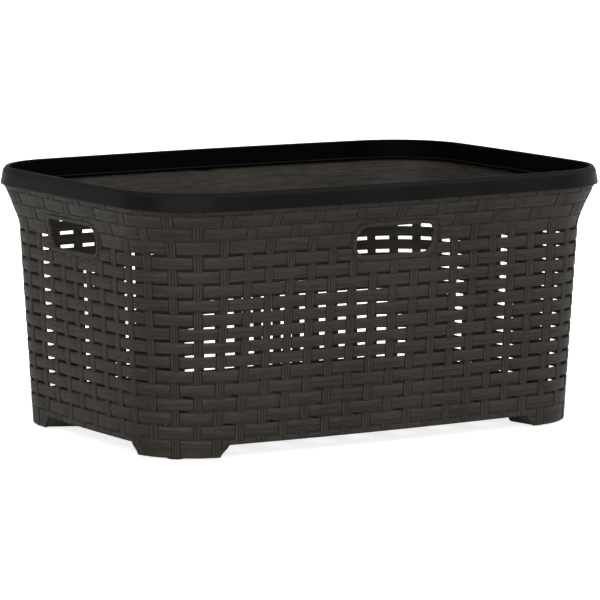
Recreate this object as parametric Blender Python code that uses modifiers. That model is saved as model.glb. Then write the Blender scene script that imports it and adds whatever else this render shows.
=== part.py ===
"""Moulded laundry basket with a basket-weave wall and a press-on rim.

Units are metres, +Z is up.  The origin is the centre of the footprint on the
ground plane.  X runs along the long sides, Y along the short sides.

Two separate mouldings:
  basket_body  woven-look wall, floor, corner feet and three hand holds
  rim          inverted-U ring pressed over the top edge of the wall

Heights named *_Z are measured from the bottom of the foot walls, which stand
NUB_HEIGHT above the ground.

A plan outline is a tuple (half length, half width, corner radius).  Places
round it are stake positions: 0 in the middle of the +Y side, running clockwise
seen from above, QUARTER to each quarter.
"""
import bpy
import bmesh
import math
from mathutils import Matrix

NAME = "laundry_basket"

# ---------------------------------------------------------------- dimensions
NUB_HEIGHT = 0.0029     # ground to the bottom of the foot walls

# outward bow of the sides over their half length
BULGE_LONG = 0.0070
BULGE_SHORT = 0.0020

# rim crest
CREST = (0.2900, 0.2133, 0.0869)
CREST_Z = 0.2795

# wall outer face: straight draft up to FLARE_Z, then it opens out
WALL_REF = (0.2797, 0.1953, 0.0805)     # outline at WALL_REF_Z
WALL_REF_Z = 0.2086
DRAFT = (0.0419, 0.0486, 0.0)           # outline growth per metre of height
FLARE_Z = 0.2175
FLARE_TOP_Z = 0.2610
FLARE_OUT = 0.0027      # wall face outside the crest outline at FLARE_TOP_Z
FLARE_POWER = 1.15
FLARE_MID_DROP = 0.006  # grid level inside the flare, below its mid height
WALL_TOP_Z = 0.2768
WALL_TOP_OUT = 0.0006   # wall face outside the crest outline at WALL_TOP_Z
WALL_T = 0.0020         # wall thickness

# weave grid
QUARTER = 16            # stakes from the middle of a long side to a short one
TURN = 4 * QUARTER
PITCH_LONG = 0.0251     # stake pitch along the long sides
PITCH_SHORT = 0.0280    # stake pitch along the short sides
LAST_LONG = 7           # last stake on the evenly spaced long run
FIRST_SHORT = 13        # first stake on the evenly spaced short run
CORNER_LINES = [7.85, 8.55, 9.25, 10.0, 10.75, 11.45, 12.15]
STAKE_HALF = 0.17       # half width of a stake, in stake pitches
STAKE_SNAP = 0.3        # a band centred closer than this to a stake is the stake
ROW0_Z = 0.0335         # lowest row boundary
ROW_PITCH = 0.014863
OPEN_ROWS = (2, 4, 6, 8, 10, 12)   # row boundaries with through slots
SLOT_HALF = 0.0018      # half height of a slot

# feet; positions and runs along the outline are in stake pitches
SKIRT_Z = 0.0119        # lower edge of the wall between the feet
FOOT_START = 7.65       # where a foot begins at the skirt
FOOT_END = 12.20
FOOT_REACH = 0.7        # grid columns this far beyond a foot belong to it
FOOT_SLOPE = 0.42       # run of the sloping foot end
FOOT_BLOCK_INSET = 0.62     # foot block end inside the foot end
FOOT_BLOCK_STEPS = 7
FOOT_BLOCK_LIFT = 0.0006    # block underside above the foot wall bottom
FOOT_SECTION_Z = 0.006      # height whose wall outline the block follows
FOOT_DEPTH = 0.036
NUB_R = 0.0105          # round pad under each foot
NUB_TAPER = 0.0012      # radius lost at the ground
NUB_OVERLAP = 0.003     # pad height buried in the foot
NUB_INSET = 0.0135

# floor; pairs are (along X, along Y)
FLOOR_Z = 0.0180
FLOOR_T = 0.0030
VENT_COUNT = (9, 5)
VENT_SIZE = (0.009, 0.042)
VENT_PITCH = (0.052, 0.060)
VENT_CUT_HEIGHT = 0.012

# hand holds, in the middle of these sides (quarters clockwise from +Y)
HOLD_SIDES = (1, 2, 3)
HOLD_HALF = 0.0470
HOLD_Z0 = 0.2018
HOLD_Z1 = 0.2327
HOLD_R = 0.0110
HOLD_INSET = 0.008      # centre of the cutting bars inside the crest outline
HOLD_REACH = 0.09       # length of the bar that cuts the opening
HOLD_CLEAR = 2.0        # stake pitches each side of a hold without upper slots
HOLD_FIRST_ROW = 11     # lowest row affected by HOLD_CLEAR
FRAME_W = 0.0050
FRAME_PROUD = 0.0014
FRAME_SINK = 0.0010     # frame depth behind the wall face
FRAME_REACH = 0.08      # length of the bar that trims the frame
FRAME_EXTRA_SIDE = 0.006    # untrimmed patch beyond the frame, each side
FRAME_EXTRA_Z = 0.004       # the same above and below
FRAME_STEPS = 4

# rim section: (outward offset from the crest outline, height above the crest)
RIM_SECTION = [
    (0.0052, -0.0190), (0.0057, -0.0182), (0.0031, -0.0042),
    (0.0003, 0.0), (-0.0028, 0.0), (-0.0036, -0.0010),
    (-0.0042, -0.0203), (-0.0046, -0.0207), (-0.0046, -0.0228),
    (-0.0026, -0.0230), (-0.0019, -0.0024), (0.0009, -0.0024),
    (0.0039, -0.0190),
]


# ------------------------------------------------------------------ outlines
def grow(outline, offset):
    """The outline moved outward by offset."""
    return tuple(value + offset for value in outline)


def bow_radius(half_chord, bulge):
    return (half_chord ** 2 + bulge ** 2) / (2 * bulge)


def quadrant_point(stake, outline):
    """Point at a stake position from 0 to QUARTER, in the +X +Y quadrant.

    The quadrant is a shallow long-side arc, a corner arc tangent to both
    sides and a shallow short-side arc."""
    half_length, half_width, radius = outline
    long_r = bow_radius(half_length - radius, BULGE_LONG)
    short_r = bow_radius(half_width - radius, BULGE_SHORT)
    long_y = half_width - long_r        # the long arc is centred on the Y axis
    short_x = half_length - short_r     # the short arc is centred on the X axis
    if stake <= LAST_LONG:
        x = PITCH_LONG * stake
        return x, long_y + math.sqrt(long_r * long_r - x * x)
    if stake >= FIRST_SHORT:
        y = PITCH_SHORT * (QUARTER - stake)
        return short_x + math.sqrt(short_r * short_r - y * y), y

    # corner centre: where circles round the two side centres cross
    from_long, from_short = long_r - radius, short_r - radius
    span = math.hypot(short_x, long_y)
    along = (from_long ** 2 - from_short ** 2 + span ** 2) / (2 * span)
    across = math.sqrt(from_long ** 2 - along ** 2)
    unit_x, unit_y = short_x / span, -long_y / span
    corner_x, corner_y = max(
        ((unit_x * along - unit_y * across * sign,
          long_y + unit_y * along + unit_x * across * sign) for sign in (1, -1)),
        key=sum)

    start = math.acos(PITCH_LONG * LAST_LONG / long_r)
    join_long = math.atan2(corner_y - long_y, corner_x)
    join_short = math.atan2(corner_y, corner_x - short_x)
    end = math.asin(PITCH_SHORT * (QUARTER - FIRST_SHORT) / short_r)
    # centre x, centre y, radius, first angle, last angle
    arcs = [
        (0.0, long_y, long_r, start, join_long),
        (corner_x, corner_y, radius, join_long, join_short),
        (short_x, 0.0, short_r, join_short, end),
    ]
    total = sum(r * (first - last) for _, _, r, first, last in arcs)
    distance = (stake - LAST_LONG) / (FIRST_SHORT - LAST_LONG) * total
    for x, y, r, first, last in arcs:
        length = r * (first - last)
        if distance <= length:
            break
        distance -= length
    angle = first - distance / r
    return x + r * math.cos(angle), y + r * math.sin(angle)


def ring_point(stake, outline):
    """Point at any stake position round the whole outline."""
    stake %= TURN
    sign_x = 1 if stake <= 2 * QUARTER else -1
    sign_y = -1 if QUARTER < stake <= 3 * QUARTER else 1
    x, y = quadrant_point(fold(stake), outline)
    return sign_x * x, sign_y * y


def fold(stake):
    """Mirror a stake position into the first quarter."""
    stake %= 2 * QUARTER
    return stake if stake <= QUARTER else 2 * QUARTER - stake


def wall_section(z):
    """Outline of the wall's outer face at height z."""
    straight = tuple(ref + draft * (min(z, FLARE_Z) - WALL_REF_Z)
                     for ref, draft in zip(WALL_REF, DRAFT))
    if z <= FLARE_Z:
        return straight
    flared = grow(CREST, FLARE_OUT)
    if z <= FLARE_TOP_Z:
        blend = ((z - FLARE_Z) / (FLARE_TOP_Z - FLARE_Z)) ** FLARE_POWER
        return tuple(low + (high - low) * blend for low, high in zip(straight, flared))
    blend = (z - FLARE_TOP_Z) / (WALL_TOP_Z - FLARE_TOP_Z)
    return grow(flared, (WALL_TOP_OUT - FLARE_OUT) * blend)


def wall_point(stake, z, offset=0.0):
    return (*ring_point(stake, grow(wall_section(z), offset)), z + NUB_HEIGHT)


def mirrored(quarter):
    """Stake positions of one quarter repeated in all four, sorted."""
    return sorted({round(p % TURN, 5) for v in quarter
                   for p in (v, 2 * QUARTER - v, 2 * QUARTER + v, TURN - v)})


# ------------------------------------------------------------------- helpers
def clear_scene():
    for ob in list(bpy.data.objects):
        bpy.data.objects.remove(ob, do_unlink=True)
    for block in (bpy.data.meshes, bpy.data.materials, bpy.data.curves,
                  bpy.data.collections):
        for item in list(block):
            block.remove(item)


def new_collection(name):
    coll = bpy.data.collections.new(name)
    bpy.context.scene.collection.children.link(coll)
    return coll


def mesh_object(name, bm, coll):
    bmesh.ops.recalc_face_normals(bm, faces=bm.faces[:])
    mesh = bpy.data.meshes.new(name)
    bm.to_mesh(mesh)
    bm.free()
    ob = bpy.data.objects.new(name, mesh)
    coll.objects.link(ob)
    return ob


def tool_object(name, bm, tools):
    """Helper solid used only by boolean modifiers."""
    ob = mesh_object(name, bm, tools)
    ob.hide_render = True
    ob.display_type = 'WIRE'
    return ob


def material(name, colour, roughness):
    mat = bpy.data.materials.new(name)
    mat.use_nodes = True
    bsdf = mat.node_tree.nodes["Principled BSDF"]
    bsdf.inputs["Base Color"].default_value = colour
    bsdf.inputs["Roughness"].default_value = roughness
    mat.diffuse_color = colour
    return mat


def boolean(ob, other, operation):
    mod = ob.modifiers.new(operation.lower() + "_" + other.name, 'BOOLEAN')
    mod.operation = operation
    mod.solver = 'EXACT'
    mod.object = other


def thicken_inward(ob, name, thickness):
    """Face an open shell away from the Z axis and solidify it inward."""
    face = ob.data.polygons[0]
    if face.normal.xy.dot(face.center.xy) < 0:
        ob.data.flip_normals()
    mod = ob.modifiers.new(name, 'SOLIDIFY')
    mod.thickness = thickness
    mod.offset = -1.0
    mod.use_even_offset = True
    return mod


def add_quad(bm, row, next_row, i, j):
    """Face between columns i and j of two rows of vertices."""
    bm.faces.new((row[i], next_row[i], next_row[j], row[j]))


def add_box(bm, centre, size):
    matrix = Matrix.Translation(centre) @ Matrix.Diagonal((*size, 1.0))
    bmesh.ops.create_cube(bm, size=1.0, matrix=matrix)


def prism(name, points, z0, z1, tools):
    """Upright prism over a plan polygon."""
    bm = bmesh.new()
    low = [bm.verts.new((x, y, z0 + NUB_HEIGHT)) for x, y in points]
    high = [bm.verts.new((x, y, z1 + NUB_HEIGHT)) for x, y in points]
    bm.faces.new(low)
    bm.faces.new(high)
    for i in range(len(points)):
        j = (i + 1) % len(points)
        bm.faces.new((low[i], low[j], high[j], high[i]))
    return tool_object(name, bm, tools)


# ---------------------------------------------------------------------- wall
def stake_edges(first, last):
    return [k + edge for k in range(first, last + 1) for edge in (-STAKE_HALF, STAKE_HALF)]


def is_open(row, middle):
    """True where the band centred on a stake position is a slot in this row:
    between stakes on a straight run, and clear of the hand holds."""
    folded = fold(middle)
    if abs(folded - round(folded)) < STAKE_SNAP or LAST_LONG <= folded <= FIRST_SHORT:
        return False
    near_hold = any(abs(middle - side * QUARTER) < HOLD_CLEAR for side in HOLD_SIDES)
    return not (row >= HOLD_FIRST_ROW and near_hold)


def foot_range(corner):
    """First and last stake position of the foot at a corner."""
    base = corner * QUARTER
    if corner % 2 == 0:
        return base + FOOT_START, base + FOOT_END
    return base + QUARTER - FOOT_END, base + QUARTER - FOOT_START


def add_foot_wall(bm, corner, stakes, skirt):
    """Foot wall hanging below the skirt, narrowing towards its bottom."""
    start, end = foot_range(corner)
    columns = [c for c, stake in enumerate(stakes)
               if start - FOOT_REACH < stake < end + FOOT_REACH]
    first, last = stakes[columns[0]], stakes[columns[-1]]
    start += FOOT_SLOPE
    end -= FOOT_SLOPE
    bottom = []
    for c in columns:
        fraction = (stakes[c] - first) / (last - first)
        bottom.append(bm.verts.new(wall_point(start + fraction * (end - start), 0.0)))
    top = [skirt[c] for c in columns]
    for i in range(len(columns) - 1):
        add_quad(bm, bottom, top, i, i + 1)


def build_wall(coll):
    # both edges of each stake on the straight runs, single lines at corners
    stakes = mirrored(stake_edges(0, LAST_LONG) + CORNER_LINES
                      + stake_edges(FIRST_SHORT, QUARTER))
    levels = [SKIRT_Z]
    slot_rows = {}      # row number by the index of the level below the slot
    for row in OPEN_ROWS:
        z = ROW0_Z + ROW_PITCH * row
        slot_rows[len(levels)] = row
        levels += [z - SLOT_HALF, z + SLOT_HALF]
    levels += [0.5 * (FLARE_Z + FLARE_TOP_Z) - FLARE_MID_DROP, FLARE_TOP_Z, WALL_TOP_Z]

    bm = bmesh.new()
    grid = [[bm.verts.new(wall_point(stake, z)) for stake in stakes] for z in levels]
    for i in range(len(levels) - 1):
        for c in range(len(stakes)):
            d = (c + 1) % len(stakes)
            middle = 0.5 * (stakes[c] + (stakes[d] if d else stakes[d] + TURN))
            if i in slot_rows and is_open(slot_rows[i], middle):
                continue
            add_quad(bm, grid[i], grid[i + 1], c, d)
    for corner in range(4):
        add_foot_wall(bm, corner, stakes, grid[0])
    wall = mesh_object("basket_body", bm, coll)
    thicken_inward(wall, "wall_thickness", WALL_T).use_quality_normals = True
    return wall


# ---------------------------------------------------------------------- base
def build_foot(corner, tools):
    """Foot block with its ground pad; the outer edge lies inside the wall."""
    section = wall_section(FOOT_SECTION_Z)
    start, end = foot_range(corner)
    start += FOOT_BLOCK_INSET
    end -= FOOT_BLOCK_INSET
    stakes = [start + (end - start) * i / FOOT_BLOCK_STEPS
              for i in range(FOOT_BLOCK_STEPS + 1)]
    outer = [ring_point(stake, grow(section, -0.5 * WALL_T)) for stake in stakes]
    inner = [ring_point(stake, grow(section, -FOOT_DEPTH)) for stake in stakes]
    foot = prism("foot_%d" % corner, outer + inner[::-1], FOOT_BLOCK_LIFT,
                 FLOOR_Z + 0.6 * FLOOR_T, tools)

    x, y = ring_point(0.5 * (start + end), grow(section, -NUB_INSET))
    depth = NUB_HEIGHT + NUB_OVERLAP
    bm = bmesh.new()
    bmesh.ops.create_cone(bm, cap_ends=True, segments=16, radius1=NUB_R - NUB_TAPER,
                          radius2=NUB_R, depth=depth,
                          matrix=Matrix.Translation((x, y, 0.5 * depth)))
    boolean(foot, tool_object("nub_%d" % corner, bm, tools), 'UNION')
    return foot


def build_vents(tools):
    """Grid of boxes that cut the floor slots."""
    z = FLOOR_Z + NUB_HEIGHT + 0.5 * FLOOR_T
    bm = bmesh.new()
    for i in range(VENT_COUNT[0]):
        for j in range(VENT_COUNT[1]):
            x = (i - 0.5 * (VENT_COUNT[0] - 1)) * VENT_PITCH[0]
            y = (j - 0.5 * (VENT_COUNT[1] - 1)) * VENT_PITCH[1]
            add_box(bm, (x, y, z), (*VENT_SIZE, VENT_CUT_HEIGHT))
    return tool_object("floor_vents", bm, tools)


def build_base(tools):
    """Floor slab with feet and vents; its edge is buried mid-wall."""
    outline = grow(wall_section(FLOOR_Z), -0.5 * WALL_T)
    points = [ring_point(k + 0.5, outline) for k in range(TURN)]
    floor = prism("floor_slab", points, FLOOR_Z, FLOOR_Z + FLOOR_T, tools)
    for corner in range(4):
        boolean(floor, build_foot(corner, tools), 'UNION')
    boolean(floor, build_vents(tools), 'DIFFERENCE')
    return floor


# ---------------------------------------------------------------- hand holds
def hold_bar(name, side, margin, reach, radius, tools):
    """Bar with a rounded-rectangle section, passing through the wall where
    the hold is; margin is added all round the opening."""
    width = 2 * (HOLD_HALF + margin)
    height = HOLD_Z1 - HOLD_Z0 + 2 * margin
    z = 0.5 * (HOLD_Z0 + HOLD_Z1) + NUB_HEIGHT
    if side % 2 == 0:       # the -Y side
        axis = 1
        centre = (0.0, HOLD_INSET - CREST[1], z)
        size = (width, reach, height)
    else:
        axis = 0
        centre = ((CREST[0] - HOLD_INSET) * (1 if side == 1 else -1), 0.0, z)
        size = (reach, width, height)
    bm = bmesh.new()
    add_box(bm, centre, size)
    edges = [e for e in bm.edges
             if abs((e.verts[0].co - e.verts[1].co).normalized()[axis]) > 0.9]
    bmesh.ops.bevel(bm, geom=edges, offset=radius, offset_type='OFFSET',
                    segments=4, profile=0.5, affect='EDGES')
    return tool_object(name, bm, tools)


def build_frame(side, tools):
    """Raised patch following the wall face, trimmed to the frame outline."""
    pitch = PITCH_LONG if side % 2 == 0 else PITCH_SHORT
    half = (HOLD_HALF + FRAME_W + FRAME_EXTRA_SIDE) / pitch
    bottom = HOLD_Z0 - FRAME_W - FRAME_EXTRA_Z
    height = HOLD_Z1 + FRAME_W + FRAME_EXTRA_Z - bottom
    bm = bmesh.new()
    rows = [[bm.verts.new(wall_point(side * QUARTER + half * (2.0 * i / FRAME_STEPS - 1.0),
                                     bottom + height * j / FRAME_STEPS, FRAME_PROUD))
             for i in range(FRAME_STEPS + 1)] for j in range(FRAME_STEPS + 1)]
    for j in range(FRAME_STEPS):
        for i in range(FRAME_STEPS):
            add_quad(bm, rows[j], rows[j + 1], i, i + 1)
    frame = tool_object("hold_frame_%d" % side, bm, tools)
    thicken_inward(frame, "frame_thickness", FRAME_PROUD + FRAME_SINK)
    outline = hold_bar("frame_outline_%d" % side, side, FRAME_W, FRAME_REACH,
                       HOLD_R + 0.5 * FRAME_W, tools)
    boolean(frame, outline, 'INTERSECT')
    return frame


def build_body(coll, tools):
    body = build_wall(coll)
    boolean(body, build_base(tools), 'UNION')
    for side in HOLD_SIDES:
        boolean(body, build_frame(side, tools), 'UNION')
        opening = hold_bar("hold_opening_%d" % side, side, 0.0, HOLD_REACH, HOLD_R, tools)
        boolean(body, opening, 'DIFFERENCE')
    return body


# ----------------------------------------------------------------------- rim
def build_rim(coll):
    """Ring lofted along the crest outline with an inverted-U section."""
    stakes = mirrored([0.0, 2.0, 4.0, 6.0, LAST_LONG + STAKE_HALF] + CORNER_LINES
                      + [FIRST_SHORT - STAKE_HALF, 14.5, 16.0])
    bm = bmesh.new()
    rings = [[bm.verts.new((*ring_point(stake, grow(CREST, out)), CREST_Z + up + NUB_HEIGHT))
              for stake in stakes] for out, up in RIM_SECTION]
    for i in range(len(rings)):
        for j in range(len(stakes)):
            add_quad(bm, rings[i], rings[(i + 1) % len(rings)], j, (j + 1) % len(stakes))
    return mesh_object("rim", bm, coll)


def main():
    clear_scene()
    coll = new_collection(NAME)
    tools = new_collection(NAME + "_cutters")
    body = build_body(coll, tools)
    rim = build_rim(coll)
    body.data.materials.append(
        material("body_plastic", colour=(0.060, 0.052, 0.044, 1.0), roughness=0.55))
    rim.data.materials.append(
        material("rim_plastic", colour=(0.010, 0.010, 0.011, 1.0), roughness=0.35))
    bpy.context.view_layer.update()


main()
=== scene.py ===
# A moulded laundry basket: a fully modelled basket-weave wall with three hand
# holds, a vented floor on four feet, and a press-on rim. Metres, +Z up, centred
# on the z axis and standing on z = 0. The long sides face +y and -y, the short
# sides +x and -x. The camera looks from -x, -y, so those two sides are near.
#
# Places round the basket are counted in stakes, k, the upright bands of the
# weave: 0 at the middle of the +y side, 16 at +x, 32 at -y, 48 at -x.
# Heights of the wall are measured above the top of the foot pads.
import math
from collections import namedtuple

import bmesh
import bpy
import numpy as np
from mathutils import Matrix, Vector


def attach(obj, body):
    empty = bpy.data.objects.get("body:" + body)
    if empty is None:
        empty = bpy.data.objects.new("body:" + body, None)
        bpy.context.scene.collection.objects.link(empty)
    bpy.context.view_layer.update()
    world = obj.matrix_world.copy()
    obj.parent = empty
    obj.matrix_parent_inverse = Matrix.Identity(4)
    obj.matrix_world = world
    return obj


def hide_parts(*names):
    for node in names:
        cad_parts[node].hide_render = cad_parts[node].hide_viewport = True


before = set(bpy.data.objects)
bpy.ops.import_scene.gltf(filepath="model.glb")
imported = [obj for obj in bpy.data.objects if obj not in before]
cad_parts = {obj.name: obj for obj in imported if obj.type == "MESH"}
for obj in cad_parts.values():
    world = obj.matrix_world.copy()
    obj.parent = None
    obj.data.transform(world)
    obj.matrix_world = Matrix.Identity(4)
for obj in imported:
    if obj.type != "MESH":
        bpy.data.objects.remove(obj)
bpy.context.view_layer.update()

QUARTER = 16                    # stakes in a quarter of the way round
AROUND = 4 * QUARTER
TURN = 2 * math.pi
PAD_H = 0.0029                  # the pads lift everything else by this much

# ----------------------------------------------------------------- dimensions
# A rounded plan outline: half sizes along x and y, and corner radius
Outline = namedtuple("Outline", "half_x half_y corner_r")
BOW_LONG, BOW_SHORT = 0.0070, 0.0020        # how far the sides bow outwards
PITCH_LONG, PITCH_SHORT = 0.0251, 0.0280    # stake spacing on the sides
K_LONG, K_SHORT = 7.0, 13.0     # even spacing ends and starts again here

CREST = Outline(0.2900, 0.2133, 0.0869)     # the rim's crest
CREST_Z = 0.2795
WALL_REF = Outline(0.2797, 0.1953, 0.0805)  # the wall at WALL_REF_Z
WALL_REF_Z = 0.2086
DRAFT_X, DRAFT_Y = 0.0419, 0.0486           # outward slope of the wall
FLARE_Z, FLARE_TOP_Z = 0.2175, 0.2610
FLARE_OUT, FLARE_POWER = 0.0027, 1.15       # reach beyond the crest, and curve
WALL_TOP_Z, WALL_TOP_OUT = 0.2768, 0.0006
WALL_THICK, THINNING = 0.0030, 0.0010       # the wall thins between these heights
THIN_START_Z, THIN_END_Z = 0.236, 0.2535

# Half widths of a stake, in stake pitches
STAKE_LONG, STAKE_CORNER, STAKE_SHORT = 0.169, 0.156, 0.152
ROW_LO, ROW_HI = -2, 15                     # weave rows, bottom to top
PLAIN_ROW = 99                              # the plain band above the weave
ROW0_Z, ROW_PITCH = 0.0335, 0.014863        # lower boundary of row 0, spacing
FLARE_BOUNDARIES = {13: 0.2279, 14: 0.2418, 15: 0.2553}
SLOTS = range(13)                           # row boundaries that are open slots
SLOT_HALF, GROOVE_HALF = 0.0018, 0.0005
LOWEST_SLOT_HALVES = {0: 0.0015, 1: 0.0017}
LOWER_SHOULDER, UPPER_SHOULDER = 0.0008, 0.0011

SKIRT_Z = 0.0119                # lower edge of the wall between the feet
FOOT_BOTTOM_Z = -0.0008
FOOT_SLOPE, FOOT_DEPTH = 0.41, 0.040
FOOT_REF_Z = 0.006              # height of the outline that places blocks and pads
# A foot at the skirt, all in stakes: where it begins and ends, how far the slope
# of each end reaches into it, how much wider its block is inside at each end,
# and how far its pad is off the middle
Foot = namedtuple("Foot", "start end start_reach end_reach start_widen end_widen pad_shift")
FEET = (
    Foot(7.65, 12.20, 2.0, 2.0, 0.0, 0.60, 0.0),
    Foot(18.80, 24.80, 0.62, 0.62, 0.60, 0.0, 0.0),
    Foot(39.65, 44.20, 0.18, 2.0, 0.0, 0.60, 0.135),
    Foot(50.80, 56.80, 0.62, 0.62, 0.60, 0.0, 0.0),
)
PAD_R, PAD_INSET = 0.0105, 0.0135
FLOOR_Z, FLOOR_THICK = 0.0180, 0.0030


# ------------------------------------------------------------------- outlines
def grown(shape, by):
    return Outline(*(size + by for size in shape))


def smooth(t):
    t = np.clip(t, 0.0, 1.0)
    return t * t * (3 - 2 * t)


def folded(k):
    """The matching place in the first quarter, 0..16."""
    half = np.mod(k, 2 * QUARTER)
    return np.minimum(half, 2 * QUARTER - half)


def offset_from(k, middle=0):
    """Signed distance in stakes from a place, the short way round."""
    return np.mod(k - middle + AROUND / 2, AROUND) - AROUND / 2


def bow_radius(half_span, bow):
    return (half_span ** 2 + bow ** 2) / (2 * bow)


def quarter_outline(k, shape):
    """x, y of an outline at k = 0..16. Each side is a wide arc, and the corner
    is an arc tangent to both."""
    half_x, half_y, corner_r = shape
    long_r = bow_radius(half_x - corner_r, BOW_LONG)
    short_r = bow_radius(half_y - corner_r, BOW_SHORT)
    long_y, short_x = half_y - long_r, half_x - short_r     # centres, on the axes
    # the corner's centre is where circles about the two side centres cross
    reach_long, reach_short = long_r - corner_r, short_r - corner_r
    apart = math.hypot(short_x, long_y)
    along = (reach_long ** 2 - reach_short ** 2 + apart ** 2) / (2 * apart)
    across = math.sqrt(reach_long ** 2 - along ** 2)
    dir_x, dir_y = short_x / apart, -long_y / apart
    corner_x = dir_x * along + dir_y * across
    corner_y = long_y + dir_y * along - dir_x * across

    x, y = np.zeros_like(k), np.zeros_like(k)
    on_long, on_short = k <= K_LONG, k >= K_SHORT
    x[on_long] = PITCH_LONG * k[on_long]
    y[on_long] = long_y + np.sqrt(long_r ** 2 - x[on_long] ** 2)
    y[on_short] = PITCH_SHORT * (QUARTER - k[on_short])
    x[on_short] = short_x + np.sqrt(short_r ** 2 - y[on_short] ** 2)

    # between them the stakes are evenly spaced along three arcs
    long_turn = math.atan2(corner_y - long_y, corner_x)
    short_turn = math.atan2(corner_y, corner_x - short_x)
    first = math.acos(PITCH_LONG * K_LONG / long_r)
    last = math.asin(PITCH_SHORT * (QUARTER - K_SHORT) / short_r)
    arcs = (    # centre x, centre y, radius, start angle, end angle
        (0.0, long_y, long_r, first, long_turn),
        (corner_x, corner_y, corner_r, long_turn, short_turn),
        (short_x, 0.0, short_r, short_turn, last),
    )
    length = sum(radius * (start - end) for _, _, radius, start, end in arcs)
    travel = (k - K_LONG) / (K_SHORT - K_LONG) * length
    for centre_x, centre_y, radius, start, end in arcs:
        on = ~on_long & ~on_short & (travel > 0)
        angle = start - travel[on] / radius
        x[on] = centre_x + radius * np.cos(angle)
        y[on] = centre_y + radius * np.sin(angle)
        travel = travel - radius * (start - end)
    return x, y


def outline(k, shape):
    k = np.mod(np.asarray(k, float), AROUND)
    x, y = quarter_outline(folded(k), shape)
    sign_x = np.where(k <= 2 * QUARTER, 1.0, -1.0)
    sign_y = np.where((k <= QUARTER) | (k > 3 * QUARTER), 1.0, -1.0)
    return x * sign_x, y * sign_y


def wall_section(z):
    """Outline of the wall's datum face at a height."""
    rise = min(z, FLARE_Z) - WALL_REF_Z
    straight = Outline(WALL_REF.half_x + DRAFT_X * rise,
                       WALL_REF.half_y + DRAFT_Y * rise, WALL_REF.corner_r)
    if z <= FLARE_Z:
        return straight
    flared = grown(CREST, FLARE_OUT)
    if z <= FLARE_TOP_Z:
        t = ((z - FLARE_Z) / (FLARE_TOP_Z - FLARE_Z)) ** FLARE_POWER
        return Outline(*(a + (b - a) * t for a, b in zip(straight, flared)))
    t = (z - FLARE_TOP_Z) / (WALL_TOP_Z - FLARE_TOP_Z)
    return grown(flared, (WALL_TOP_OUT - FLARE_OUT) * t)


def wall_thickness(z):
    """From the datum face to the smooth inner face."""
    return WALL_THICK - THINNING * smooth((z - THIN_START_Z) / (THIN_END_Z - THIN_START_Z))


# ----------------------------------------------------- irregularity of stakes
def foot_slope(z):
    """How far a foot's ends have moved in at a height, in stakes."""
    t = np.clip((SKIRT_Z - z) / SKIRT_Z, 0.0, 1.0)
    return FOOT_SLOPE * (0.55 * t + 0.45 * smooth(t))


def foot_warp(k, z):
    """Slides the columns of each foot inwards below the skirt."""
    slope = foot_slope(z)
    out = k.copy()
    for foot in FEET:
        on = (k >= foot.start - 1e-6) & (k < foot.start + foot.start_reach)
        out[on] = k[on] + slope * (1 - (k[on] - foot.start) / foot.start_reach)
        on = (k <= foot.end + 1e-6) & (k > foot.end - foot.end_reach)
        out[on] = k[on] - slope * (1 - (foot.end - k[on]) / foot.end_reach)
    return out


# The stakes of the two near sides aren't quite upright: stake number, and its
# sideways shift in pitches at the heights in LEAN_Z.
LEAN_Z = (0.030, 0.050, 0.080, 0.110, 0.145, 0.190, 0.240)
LEAN = (
    (22.00, (0.00, 0.00, 0.00, 0.00, 0.00, 0.00, 0.0)),
    (24.00, (0.08, 0.06, 0.02, -0.01, -0.02, -0.04, 0.0)),
    (25.00, (0.11, 0.08, 0.04, -0.01, -0.02, -0.07, 0.0)),
    (27.00, (0.12, 0.09, 0.07, 0.03, -0.01, -0.05, 0.0)),
    (29.00, (0.17, 0.14, 0.10, 0.05, 0.03, -0.03, 0.0)),
    (31.00, (0.19, 0.16, 0.13, 0.10, 0.05, -0.01, 0.0)),
    (33.00, (0.20, 0.19, 0.15, 0.12, 0.08, 0.01, 0.0)),
    (36.00, (0.22, 0.19, 0.15, 0.12, 0.10, 0.04, 0.0)),
    (38.00, (0.22, 0.19, 0.13, 0.08, 0.05, 0.03, 0.0)),
    (39.83, (0.23, 0.17, 0.11, 0.05, -0.02, -0.04, 0.0)),
    (40.17, (0.23, 0.17, 0.11, 0.05, -0.02, -0.04, 0.0)),
    (41.00, (0.00, 0.00, 0.00, 0.02, 0.01, -0.02, 0.0)),
    (42.00, (-0.09, -0.09, -0.10, -0.11, -0.11, -0.10, 0.0)),
    (43.00, (-0.13, -0.12, -0.12, -0.12, -0.08, -0.06, 0.0)),
    (44.00, (-0.17, -0.15, -0.13, -0.08, -0.07, -0.05, 0.0)),
    (46.00, (-0.13, -0.10, -0.08, -0.06, -0.06, -0.02, 0.0)),
    (48.00, (-0.10, -0.10, -0.09, -0.04, -0.03, 0.00, 0.0)),
    (51.00, (-0.15, -0.11, -0.08, -0.07, -0.06, -0.05, 0.0)),
    (53.50, (0.00, 0.00, 0.00, 0.00, 0.00, 0.00, 0.0)),
)


def near_lean(k, z):
    shifts = [np.interp(z, LEAN_Z, row) for _, row in LEAN]
    out = np.interp(k, [stake for stake, _ in LEAN], shifts)
    # the ends of the feet stay where they are
    hold = 1.0 - smooth((z - SKIRT_Z) / 0.012)
    for foot in FEET:
        for end in (foot.start, foot.end):
            out = out * (1.0 - hold * np.clip(1.0 - np.abs(k - end) / 0.18, 0.0, 1.0))
    return out


def far_weight(k, start, span):
    """1 on the two far sides, fading in from start and out at the far corner."""
    place = offset_from(k)
    return smooth((place - start) / span) * (1.0 - smooth((place - 16.0) / 7.0))


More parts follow.
